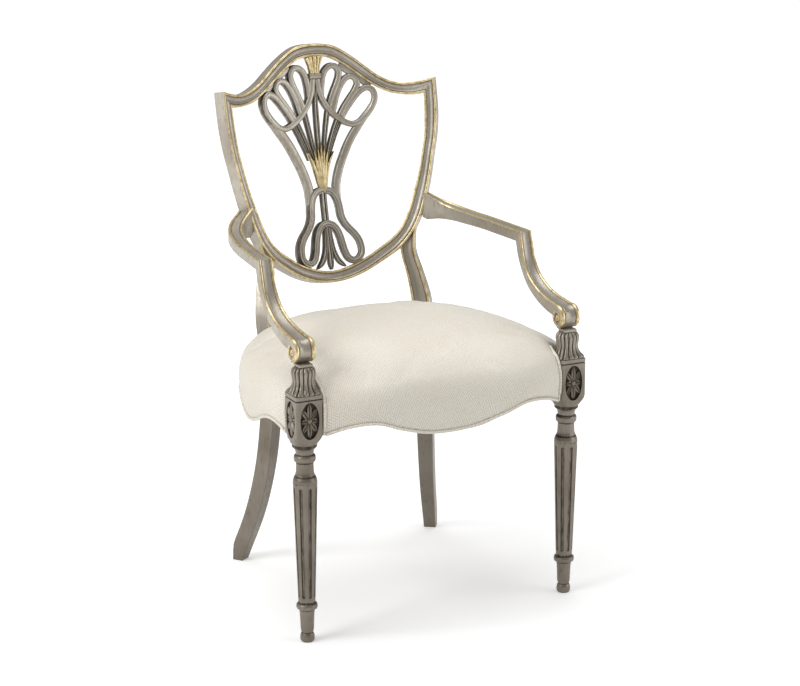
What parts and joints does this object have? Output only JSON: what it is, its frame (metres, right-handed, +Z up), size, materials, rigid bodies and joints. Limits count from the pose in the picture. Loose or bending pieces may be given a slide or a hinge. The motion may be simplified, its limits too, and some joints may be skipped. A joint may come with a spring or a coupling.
{
  "type": "shield back armchair",
  "caption": "Shield back dining armchair with a pierced splat, taupe painted frame, gilt beading, fluted front legs and a crowned upholstered seat",
  "frame": {"origin": "on the floor, midway between the sides and midway between the foremost and rearmost points of the chair", "axes": "+X towards the chair's left as it faces us, which is the viewer's right, -Y out of the front of the seat, +Z up"},
  "size_m": [0.5954, 0.6078, 0.985],
  "materials": {
    "painted_frame": "pearlescent taupe paint with a dark antique glaze and gilt beads",
    "beech": "bare planed beech",
    "screw_steel": "zinc plated",
    "seat_fabric": "ivory cross-hatched weave with a satin sheen",
    "foam": "cut seat foam",
    "webbing": "plain woven jute",
    "dust_cloth": "thin non-woven cloth"
  },
  "bodies": {
    "root": {"crest_rail": "painted_frame", "shield_lower_rail": "painted_frame", "splat": "painted_frame", "back_post_left": "painted_frame", "back_post_right": "painted_frame", "arm_left": "painted_frame", "arm_right": "painted_frame", "arm_support_left": "painted_frame", "arm_support_right": "painted_frame", "front_leg_left": "painted_frame", "front_leg_right": "painted_frame", "front_rail": "beech", "rear_rail": "beech", "side_rail_left": "beech", "side_rail_right": "beech", "front_corner_block_left": "beech", "front_corner_block_right": "beech", "rear_corner_block_left": "beech", "rear_corner_block_right": "beech", "shield_dowels": "beech", "arm_dowels": "beech", "corner_block_screws": "screw_steel", "arm_screws": "screw_steel", "seat_cover": "seat_fabric", "seat_welt": "seat_fabric", "seat_foam": "foam", "seat_webbing": "webbing", "dust_cover": "dust_cloth"}
  },
  "joints": []
}
